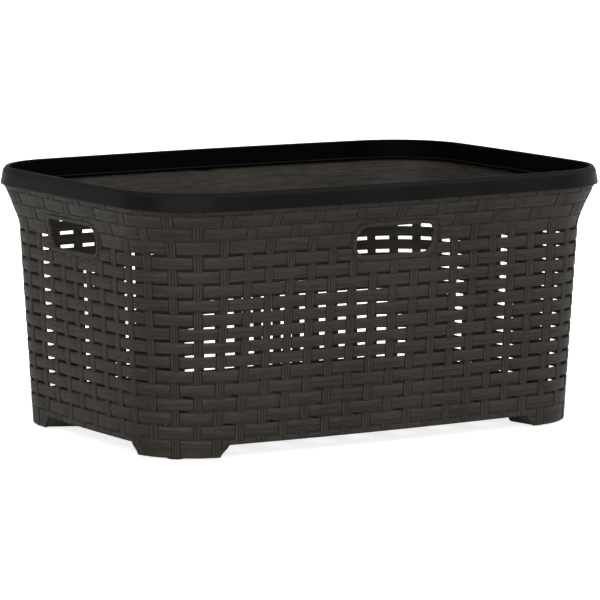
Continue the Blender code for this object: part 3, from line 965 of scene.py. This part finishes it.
# ------------------------------------------------------------------ materials
class Nodes:
    """A material with a Principled shader, and short calls for its nodes."""

    def __init__(self, name):
        self.material = bpy.data.materials.new(name)
        self.material.use_nodes = True
        self.tree = self.material.node_tree
        self.tree.nodes.clear()
        output = self.node("ShaderNodeOutputMaterial")
        self.bsdf = self.node("ShaderNodeBsdfPrincipled")
        self.tree.links.new(self.bsdf.outputs[0], output.inputs[0])

    def node(self, kind, **props):
        node = self.tree.nodes.new(kind)
        for key, value in props.items():
            setattr(node, key, value)
        return node

    def feed(self, socket, value):
        """Links a socket, or sets its value."""
        if isinstance(value, bpy.types.NodeSocket):
            self.tree.links.new(value, socket)
        else:
            socket.default_value = value

    def shade(self, name, value):
        self.feed(self.bsdf.inputs[name], value)

    def object_place(self):
        return self.node("ShaderNodeTexCoord").outputs["Object"]

    def noise(self, vector, scale=1.0, stretch=None, detail=3.0, rough=0.6, distort=0.0):
        if stretch:
            vector = self.scaled(vector, stretch)
        node = self.node("ShaderNodeTexNoise")
        for key, value in (("Scale", scale), ("Detail", detail), ("Roughness", rough),
                           ("Distortion", distort), ("Vector", vector)):
            self.feed(node.inputs[key], value)
        return node.outputs["Fac"]

    def scaled(self, vector, factors):
        node = self.node("ShaderNodeVectorMath", operation='MULTIPLY')
        self.feed(node.inputs[0], vector)
        self.feed(node.inputs[1], factors)
        return node.outputs[0]

    def math(self, operation, a, b, clamp=False):
        node = self.node("ShaderNodeMath", operation=operation, use_clamp=clamp)
        self.feed(node.inputs[0], a)
        self.feed(node.inputs[1], b)
        return node.outputs[0]

    def remap(self, value, source, target):
        node = self.node("ShaderNodeMapRange")
        self.feed(node.inputs["Value"], value)
        for key, number in zip(("From Min", "From Max", "To Min", "To Max"), source + target):
            node.inputs[key].default_value = number
        return node.outputs["Result"]

    def mix(self, factor, a, b, kind='RGBA'):
        node = self.node("ShaderNodeMix", data_type=kind)
        first, result = (6, 2) if kind == 'RGBA' else (2, 0)
        self.feed(node.inputs[0], factor)
        self.feed(node.inputs[first], a)
        self.feed(node.inputs[first + 1], b)
        return node.outputs[result]

    def attribute(self, name):
        return self.node("ShaderNodeAttribute", attribute_name=name).outputs["Fac"]

    def bump(self, height, distance, strength, normal=None):
        node = self.node("ShaderNodeBump")
        node.inputs["Distance"].default_value = distance
        node.inputs["Strength"].default_value = strength
        self.feed(node.inputs["Height"], height)
        if normal is not None:
            self.feed(node.inputs["Normal"], normal)
        return node.outputs[0]


BODY_DARK = (0.0100, 0.0081, 0.0056, 1.0)
BODY_MID = (0.0295, 0.0246, 0.0179, 1.0)
BODY_LIGHT = (0.044, 0.038, 0.030, 1.0)
# colour of the painted shade in recesses, creases and on the inner face
BODY_PAINTED_SHADE = (0.0055, 0.0046, 0.0038, 1.0)
BODY_SPECULAR = 0.17
RIM_BLACK = (0.0026, 0.0024, 0.0026, 1.0)
RIM_SOFT_BLACK = (0.0044, 0.0041, 0.0044, 1.0)
# lighter rim colour for scuffs and the painted highlight on the crest
RIM_SCUFF_AND_HIGHLIGHT = (0.018, 0.017, 0.019, 1.0)
# colour of the painted shade on the rim's crest and inward face
RIM_PAINTED_SHADE = (0.0006, 0.0006, 0.0006, 1.0)
MAP_METRES = (1.675, MAP_HEIGHT / MAP_V_OUTER[1], 1.0)      # size of the unit map


def wall_material():
    nodes = Nodes("body_plastic_weave")
    uv = nodes.node("ShaderNodeUVMap", uv_map="OFBake").outputs[0]
    place = nodes.object_place()
    metres = nodes.scaled(uv, MAP_METRES)
    stake, painted_highlight, painted_shade = (nodes.attribute(name) for name in ("stake", "painted_highlight", "painted_shade"))

    def grain(along, across, detail):
        """Streaks that run along the strands, and upwards on the stakes."""
        level = nodes.noise(metres, stretch=(along, across[0], 1.0), detail=detail)
        upright = nodes.noise(metres, stretch=(across[1], along, 1.0), detail=detail)
        return nodes.mix(stake, level, upright, kind='FLOAT')

    streak = grain(along=48.0, across=(780.0, 900.0), detail=3.0)
    broad = grain(along=14.0, across=(420.0, 420.0), detail=2.0)
    cloud = nodes.noise(place, scale=9.0, detail=3.0, rough=0.5)
    grit = nodes.noise(place, scale=1700.0, detail=2.0)
    tone = nodes.math('ADD', nodes.math('MULTIPLY', streak, 0.50),
                      nodes.math('MULTIPLY', broad, 0.50))
    tone = nodes.remap(tone, source=(0.40, 0.60), target=(0.0, 1.0))
    colour = nodes.mix(tone, BODY_DARK, BODY_MID)
    clouding = nodes.remap(cloud, source=(0.35, 0.65), target=(0.0, 0.22))
    colour = nodes.mix(clouding, colour, BODY_LIGHT)
    # painted shade darkens the recesses and creases, painted highlight lightens the raised edges,
    # which are also a little smoother
    colour = nodes.mix(nodes.math('MULTIPLY', painted_shade, 0.75), colour, BODY_PAINTED_SHADE)
    gritty = nodes.remap(grit, source=(0.35, 0.7), target=(0.18, 0.55))
    colour = nodes.mix(nodes.math('MULTIPLY', painted_highlight, gritty), colour, BODY_LIGHT)
    nodes.shade("Base Color", colour)
    rough = nodes.math('ADD', nodes.remap(streak, source=(0.3, 0.7), target=(0.60, 0.46)),
                       nodes.math('MULTIPLY', painted_shade, 0.18))
    rough = nodes.math('SUBTRACT', rough, nodes.math('MULTIPLY', painted_highlight, 0.06), clamp=True)
    nodes.shade("Roughness", rough)
    nodes.shade("Specular IOR Level", BODY_SPECULAR)
    height = nodes.math('ADD', nodes.math('MULTIPLY', streak, 0.7),
                        nodes.math('MULTIPLY', broad, 0.5))
    normal = nodes.bump(height, distance=0.00028, strength=0.85)
    nodes.shade("Normal", nodes.bump(grit, distance=0.00004, strength=0.5, normal=normal))
    return nodes.material


def floor_material():
    nodes = Nodes("body_plastic_floor")
    place = nodes.object_place()
    grain = nodes.noise(place, stretch=(60.0, 900.0, 200.0))
    cloud = nodes.noise(place, scale=11.0, rough=0.5)
    grit = nodes.noise(place, scale=1500.0, detail=2.0)
    tone = nodes.remap(grain, source=(0.35, 0.65), target=(0.2, 1.0))
    colour = nodes.mix(tone, BODY_DARK, BODY_LIGHT)
    clouding = nodes.remap(cloud, source=(0.35, 0.65), target=(0.0, 0.3))
    colour = nodes.mix(clouding, colour, BODY_LIGHT)
    edge = nodes.node("ShaderNodeNewGeometry").outputs["Pointiness"]
    edge_lightening = nodes.math('MULTIPLY', nodes.remap(edge, source=(0.51, 0.60), target=(0.0, 0.6)),
                      nodes.remap(grit, source=(0.35, 0.7), target=(0.3, 1.0)))
    nodes.shade("Base Color", nodes.mix(edge_lightening, colour, BODY_LIGHT))
    nodes.shade("Roughness", nodes.remap(grain, source=(0.3, 0.7), target=(0.62, 0.46)))
    nodes.shade("Specular IOR Level", BODY_SPECULAR)
    normal = nodes.bump(grain, distance=0.00012, strength=0.5)
    nodes.shade("Normal", nodes.bump(grit, distance=0.00005, strength=0.5, normal=normal))
    return nodes.material


def rim_material():
    nodes = Nodes("rim_plastic_satin")
    place = nodes.object_place()
    cloud = nodes.noise(place, scale=14.0, rough=0.5)
    peel = nodes.noise(place, scale=520.0, detail=2.0, rough=0.5)
    grit = nodes.noise(place, scale=2200.0, detail=2.0)
    scuff = nodes.noise(place, stretch=(240.0, 240.0, 900.0), detail=4.0, rough=0.7, distort=0.4)
    tone = nodes.remap(cloud, source=(0.35, 0.65), target=(0.0, 1.0))
    colour = nodes.mix(tone, RIM_BLACK, RIM_SOFT_BLACK)
    # pointy edges are lightened: partly scuffs, partly a painted highlight along the crest
    edge = nodes.node("ShaderNodeNewGeometry").outputs["Pointiness"]
    edge_lightening = nodes.math('MULTIPLY', nodes.remap(edge, source=(0.505, 0.56), target=(0.0, 1.0)),
                      nodes.remap(scuff, source=(0.4, 0.7), target=(0.25, 1.0)), clamp=True)
    colour = nodes.mix(nodes.math('MULTIPLY', edge_lightening, 0.5), colour, RIM_SCUFF_AND_HIGHLIGHT)
    # painted shade: the crest and the inward face are painted a deeper black than the outer face
    geometry = nodes.node("ShaderNodeNewGeometry")
    facing = nodes.node("ShaderNodeVectorMath", operation='DOT_PRODUCT')
    nodes.feed(facing.inputs[0], geometry.outputs["Normal"])
    nodes.feed(facing.inputs[1], geometry.outputs["Position"])
    inward = nodes.remap(facing.outputs["Value"], source=(-0.02, -0.12), target=(0.0, 1.0))
    normal_parts = nodes.node("ShaderNodeSeparateXYZ")
    nodes.feed(normal_parts.inputs[0], geometry.outputs["Normal"])
    upward = nodes.remap(normal_parts.outputs["Z"], source=(0.55, 0.90), target=(0.0, 0.75))
    painted_rim_shade = nodes.math('MAXIMUM', inward, upward)
    colour = nodes.mix(nodes.math('MULTIPLY', painted_rim_shade, 0.85), colour, RIM_PAINTED_SHADE)
    nodes.shade("Specular IOR Level", nodes.mix(painted_rim_shade, a=0.085, b=0.02, kind='FLOAT'))
    nodes.shade("Base Color", colour)
    satin = nodes.remap(cloud, source=(0.3, 0.7), target=(0.34, 0.46))
    scuffed = nodes.remap(scuff, source=(0.5, 0.8), target=(0.0, 1.0))
    nodes.shade("Roughness", nodes.math('ADD', satin, nodes.math('MULTIPLY', scuffed, 0.10)))
    normal = nodes.bump(peel, distance=0.00010, strength=0.35)
    nodes.shade("Normal", nodes.bump(grit, distance=0.00003, strength=0.4, normal=normal))
    return nodes.material


def ground_material():
    nodes = Nodes("studio_floor")
    cloud = nodes.noise(nodes.object_place(), scale=3.0, rough=0.5)
    nodes.shade("Base Color", nodes.mix(cloud, a=(0.78, 0.78, 0.78, 1.0),
                                        b=(0.81, 0.81, 0.81, 1.0)))
    nodes.shade("Roughness", 0.9)
    nodes.shade("Specular IOR Level", 0.1)
    nodes.shade("Emission Color", (1.0, 1.0, 1.0, 1.0))
    # the ground glows for the camera like a light table, and lights the basket
    # from below only a little
    camera_ray = nodes.node("ShaderNodeLightPath").outputs["Is Camera Ray"]
    nodes.shade("Emission Strength", nodes.mix(camera_ray, a=0.05, b=0.80, kind='FLOAT'))
    return nodes.material


# --------------------------------------------------------------------- pieces
wall = build_wall()
wall.data.materials.append(wall_material())
floor_piece = build_floor()
floor_piece.data.materials.append(floor_material())
rim = build_rim()
rim.data.materials.append(rim_material())

for piece, slot_name in ((wall, "body_plastic"), (floor_piece, "body_plastic"),
                         (rim, "rim_plastic")):
    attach(piece, "root")
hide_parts("basket_body")
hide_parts("basket_body")
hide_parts("rim")


# ---------------------------------------------------------------------- stage
def build_ground(radius=40.0, sides=48, z=-0.0001):
    mesh = bpy.data.meshes.new("studio_ground")
    angles = [TURN * i / sides for i in range(sides)]
    mesh.from_pydata([(radius * math.cos(a), radius * math.sin(a), z) for a in angles],
                     [], [tuple(range(sides))])
    ob = bpy.data.objects.new("studio_ground", mesh)
    bpy.context.scene.collection.objects.link(ob)
    mesh.materials.append(ground_material())
    return ob


def build_world(seen=1.0, light=0.40):
    """White behind the basket for the camera, softer as light."""
    world = bpy.data.worlds.new("studio_world")
    world.use_nodes = True
    tree = world.node_tree
    tree.nodes.clear()
    output = tree.nodes.new("ShaderNodeOutputWorld")
    background = tree.nodes.new("ShaderNodeBackground")
    background.inputs["Color"].default_value = (1.0, 1.0, 1.0, 1.0)
    background.inputs["Strength"].default_value = light
    tree.links.new(background.outputs[0], output.inputs[0])
    ray = tree.nodes.new("ShaderNodeLightPath")
    strength = tree.nodes.new("ShaderNodeMath")
    strength.operation = 'MULTIPLY_ADD'
    tree.links.new(ray.outputs["Is Camera Ray"], strength.inputs[0])
    strength.inputs[1].default_value = seen - light
    strength.inputs[2].default_value = light
    tree.links.new(strength.outputs[0], background.inputs["Strength"])
    return world


def soft_sun(name, direction, energy, angle_deg):
    """A wide, soft light that shines along direction."""
    data = bpy.data.lights.new(name, 'SUN')
    data.energy = energy
    data.angle = math.radians(angle_deg)
    ob = bpy.data.objects.new(name, data)
    ob.location = (0.0, 0.0, 3.0)
    ob.rotation_mode = 'QUATERNION'
    ob.rotation_quaternion = Vector(direction).to_track_quat('-Z', 'Y')
    scene.collection.objects.link(ob)


def build_camera(location, yaw, pitch, lens):
    """yaw turns from +y towards +x, pitch looks down, both in radians."""
    data = bpy.data.cameras.new("photo_camera")
    data.sensor_width = 36.0
    data.lens = lens
    data.clip_start, data.clip_end = 0.05, 200.0
    ob = bpy.data.objects.new("photo_camera", data)
    forward = Vector((math.sin(yaw) * math.cos(pitch), math.cos(yaw) * math.cos(pitch),
                      -math.sin(pitch)))
    right = Vector((math.cos(yaw), -math.sin(yaw), 0.0))
    rotation = Matrix((right, right.cross(forward), -forward)).transposed()
    ob.matrix_world = Matrix.Translation(location) @ rotation.to_4x4()
    scene.collection.objects.link(ob)
    return ob


build_ground()
scene = bpy.context.scene
scene.view_settings.view_transform = 'Standard'
scene.view_settings.look = 'None'
scene.world = build_world()
soft_sun("top_soft", direction=(0.15, 0.25, -1.0), energy=1.5, angle_deg=110.0)
soft_sun("key_front_left", direction=(0.85, 1.0, -0.42), energy=1.86, angle_deg=70.0)
soft_sun("fill_right", direction=(-0.9, 0.6, -0.45), energy=0.7, angle_deg=80.0)
scene.camera = build_camera(location=(-2.3023, -3.8075, 0.7339), yaw=0.544, pitch=0.1342,
                            lens=245.346)
